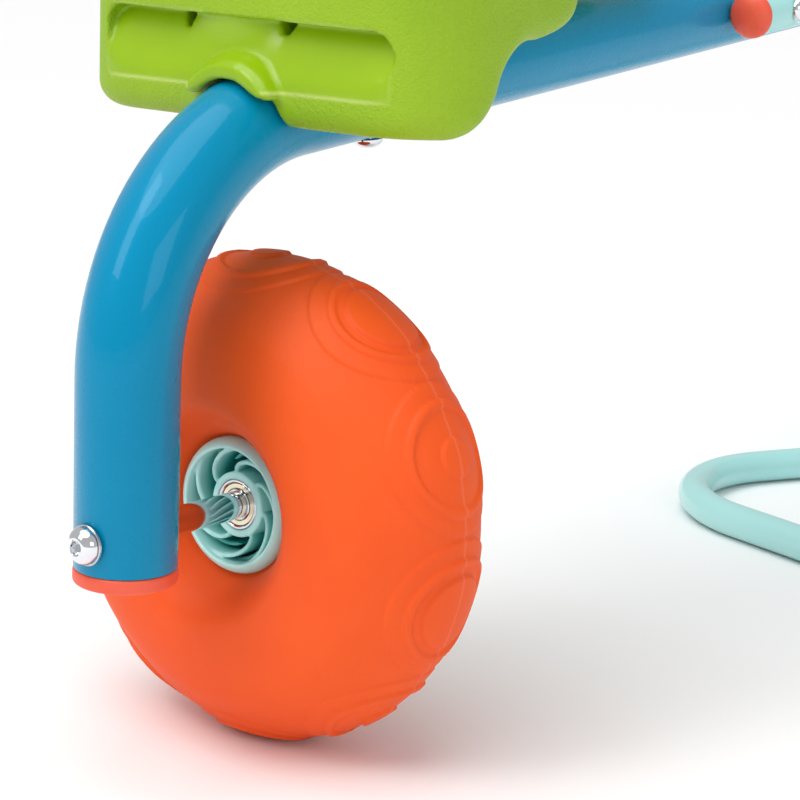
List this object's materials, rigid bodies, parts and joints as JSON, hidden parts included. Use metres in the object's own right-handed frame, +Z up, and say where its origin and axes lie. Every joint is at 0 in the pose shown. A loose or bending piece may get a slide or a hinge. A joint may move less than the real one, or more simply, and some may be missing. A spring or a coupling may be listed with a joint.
{
  "type": "rotating seesaw",
  "caption": "Children's seesaw that tilts and turns on a centre post, with a seat, a handle and a balloon wheel at each end of a bent tube beam.",
  "frame": {"origin": "on the floor, on the axis of the centre post", "axes": "+X along the beam towards end B, +Z up, end A at -X is down with its wheel on the floor"},
  "size_m": [1.6278, 0.33, 0.5864],
  "materials": {
    "mint_paint": "gloss powder coat",
    "blue_paint": "gloss powder coat",
    "orange_plastic": "matte moulded plastic",
    "lime_plastic": "moulded plastic with a fine pebble texture",
    "mint_plastic": "satin moulded plastic",
    "orange_tyre": "matte soft rubber",
    "bright_steel": "bright plated",
    "zinc_steel": "zinc plated",
    "bearing_steel": "ground",
    "brass_shield": "pressed, satin",
    "dark_plastic": "moulded"
  },
  "bodies": {
    "base": {"post": "mint_paint", "post_foot_cap": "orange_plastic", "upper_post_bush": "dark_plastic", "lower_post_bush": "dark_plastic", "floor_loop_1": "mint_paint", "floor_loop_2": "mint_paint"},
    "turntable": {"yoke": "mint_paint", "thrust_washer": "dark_plastic", "spindle_retainer": "zinc_steel", "pivot_bolt": "bright_steel", "pivot_nut": "bright_steel"},
    "wheel_a": {"tyre_a": "orange_tyre", "hub_a": "mint_plastic", "outer_races_a": "bearing_steel", "bearing_shields_a": "brass_shield", "bearing_balls_a": "bearing_steel"},
    "wheel_b": {"tyre_b": "orange_tyre", "hub_b": "mint_plastic", "outer_races_b": "bearing_steel", "bearing_shields_b": "brass_shield", "bearing_balls_b": "bearing_steel"},
    "beam": {"axle_bolt_a": "bright_steel", "axle_bolt_b": "bright_steel", "axle_nut_a": "bright_steel", "axle_nut_b": "bright_steel", "axle_sleeve_a": "bright_steel", "axle_sleeve_b": "bright_steel", "axle_washer_a": "bright_steel", "axle_washer_b": "bright_steel", "bearing_spacer_a": "zinc_steel", "bearing_spacer_b": "zinc_steel", "centre_sleeve": "blue_paint", "handle_a": "mint_paint", "handle_b": "mint_paint", "handle_bolts_a": "bright_steel", "handle_bolts_b": "bright_steel", "handle_caps_a": "orange_plastic", "handle_caps_b": "orange_plastic", "handle_grips_a": "orange_plastic", "handle_grips_b": "orange_plastic", "handle_nuts_a": "bright_steel", "handle_nuts_b": "bright_steel", "inner_races_a": "bearing_steel", "inner_races_b": "bearing_steel", "leg_cap_a": "orange_plastic", "leg_cap_b": "orange_plastic", "main_tube_a": "blue_paint", "main_tube_b": "blue_paint", "pivot_bushes": "dark_plastic", "seat_a": "lime_plastic", "seat_b": "lime_plastic", "seat_bolts_a": "bright_steel", "seat_bolts_b": "bright_steel", "seat_bracket_a": "zinc_steel", "seat_bracket_b": "zinc_steel", "sleeve_bolts": "bright_steel", "sleeve_nuts": "bright_steel"}
  },
  "joints": [
    {"name": "turn", "type": "hinge", "parent": "base", "child": "turntable", "pos_m": [0, 0, 0.2], "axis": [0, 0, 1], "continuous": true},
    {"name": "tilt", "type": "hinge", "parent": "turntable", "child": "beam", "pos_m": [0, 0, 0.35], "axis": [0, 1, 0], "range_deg": [0, 12.6]},
    {"name": "wheel_a_spin", "type": "hinge", "parent": "beam", "child": "wheel_a", "pos_m": [-0.77, 0, 0.107], "axis": [1, 0, 0], "continuous": true},
    {"name": "wheel_b_spin", "type": "hinge", "parent": "beam", "child": "wheel_b", "pos_m": [0.80446, 0, 0.2808], "axis": [-0.9759, 0, -0.2181], "continuous": true}
  ]
}
